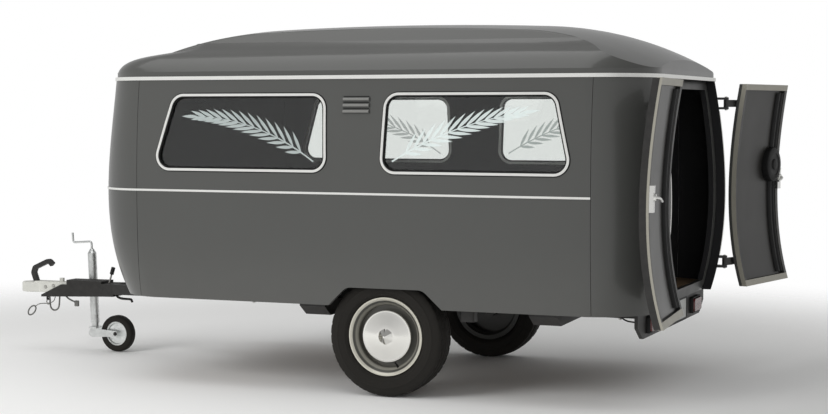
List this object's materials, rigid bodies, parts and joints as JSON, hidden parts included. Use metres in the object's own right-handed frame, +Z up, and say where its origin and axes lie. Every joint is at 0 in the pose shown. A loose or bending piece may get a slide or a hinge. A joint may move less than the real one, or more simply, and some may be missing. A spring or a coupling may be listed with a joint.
{
  "type": "funeral trailer",
  "caption": "Rounded single-axle funeral trailer with a ball coupling, screw jack, side windows, load deck and rear doors standing open.",
  "frame": {"origin": "on the ground under the middle of the whole outline, doors open", "axes": "+X forward to the coupling, +Y left, +Z up"},
  "size_m": [4.0125, 2.4581, 1.745],
  "materials": {
    "paint": "satin warm dark grey",
    "door_alloy": "satin",
    "door_liner": "gloss",
    "bright_trim": "polished",
    "window_glass": "clear",
    "floor_board": "sealed",
    "roller": "brushed",
    "chassis_black": "satin black",
    "galvanised": "galvanised",
    "tyre_rubber": "matte",
    "rim_paint": "satin cream",
    "plate": "matte",
    "lamp_red": "gloss",
    "cable_rubber": "matte"
  },
  "bodies": {
    "trailer": {"front_cap": "paint", "left_side_panel": "paint", "right_side_panel": "paint", "rear_corner_left": "paint", "rear_corner_right": "paint", "roof": "paint", "rear_sill": "door_alloy", "rear_header": "door_alloy", "gutter_trim": "bright_trim", "belt_trim": "bright_trim", "window_trims": "bright_trim", "window_glass": "window_glass", "floor_panel": "floor_board", "load_deck": "floor_board", "deck_rollers": "roller", "chassis_rails": "chassis_black", "cross_members": "chassis_black", "outriggers": "chassis_black", "axle_beam": "chassis_black", "left_swing_arm": "chassis_black", "right_swing_arm": "chassis_black", "drawbar_beams": "chassis_black", "drawbar_cover": "chassis_black", "wheel_boxes": "chassis_black", "rear_valance": "chassis_black", "left_hinge_cheeks": "chassis_black", "right_hinge_cheeks": "chassis_black", "coupling_handle": "chassis_black", "parking_lever": "chassis_black", "coupling_head": "galvanised", "safety_link": "galvanised", "jack_tube": "galvanised", "jack_clamp": "galvanised", "jack_crank": "galvanised", "jacking_points": "galvanised", "number_plate": "plate", "tail_lamps": "lamp_red", "lamp_cable": "cable_rubber"},
    "left_wheel": {"left_tyre": "tyre_rubber", "left_rim": "rim_paint", "left_hubcap": "bright_trim"},
    "right_wheel": {"right_tyre": "tyre_rubber", "right_rim": "rim_paint", "right_hubcap": "bright_trim"},
    "jack_leg": {"jack_leg": "galvanised"},
    "jack_fork": {"jack_fork": "galvanised"},
    "jack_wheel": {"jack_rim": "galvanised", "jack_tyre": "tyre_rubber"},
    "left_door": {"left_door_skin": "paint", "left_door_frame": "door_alloy", "left_door_liner": "door_liner", "left_door_hinges": "chassis_black", "left_door_latch": "bright_trim"},
    "right_door": {"right_door_skin": "paint", "right_door_frame": "door_alloy", "right_door_liner": "door_liner", "right_door_hinges": "chassis_black", "right_door_latch": "bright_trim"}
  },
  "joints": [
    {"name": "left_wheel_spin", "type": "hinge", "parent": "trailer", "child": "left_wheel", "pos_m": [-0.509, 0.7, 0.2805], "axis": [0, 1, 0], "continuous": true},
    {"name": "right_wheel_spin", "type": "hinge", "parent": "trailer", "child": "right_wheel", "pos_m": [-0.509, -0.7, 0.2805], "axis": [0, 1, 0], "continuous": true},
    {"name": "jack_slide", "type": "slide", "parent": "trailer", "child": "jack_leg", "axis": [-0.0436, 0, -0.999], "range_m": [0, 0.2]},
    {"name": "jack_swivel", "type": "hinge", "parent": "jack_leg", "child": "jack_fork", "pos_m": [1.598, -0.088, 0.1], "axis": [0.0436, 0, 0.999], "continuous": true},
    {"name": "jack_wheel_spin", "type": "hinge", "parent": "jack_fork", "child": "jack_wheel", "pos_m": [1.453, -0.088, 0.1], "axis": [0, 1, 0], "continuous": true},
    {"name": "left_door_swing", "type": "hinge", "parent": "trailer", "child": "left_door", "pos_m": [-1.789, 0.62, 0.96], "axis": [0, 0, -1], "range_deg": [-175, 11]},
    {"name": "right_door_swing", "type": "hinge", "parent": "trailer", "child": "right_door", "pos_m": [-1.789, -0.62, 0.96], "axis": [0, 0, 1], "range_deg": [-168, 18]}
  ]
}
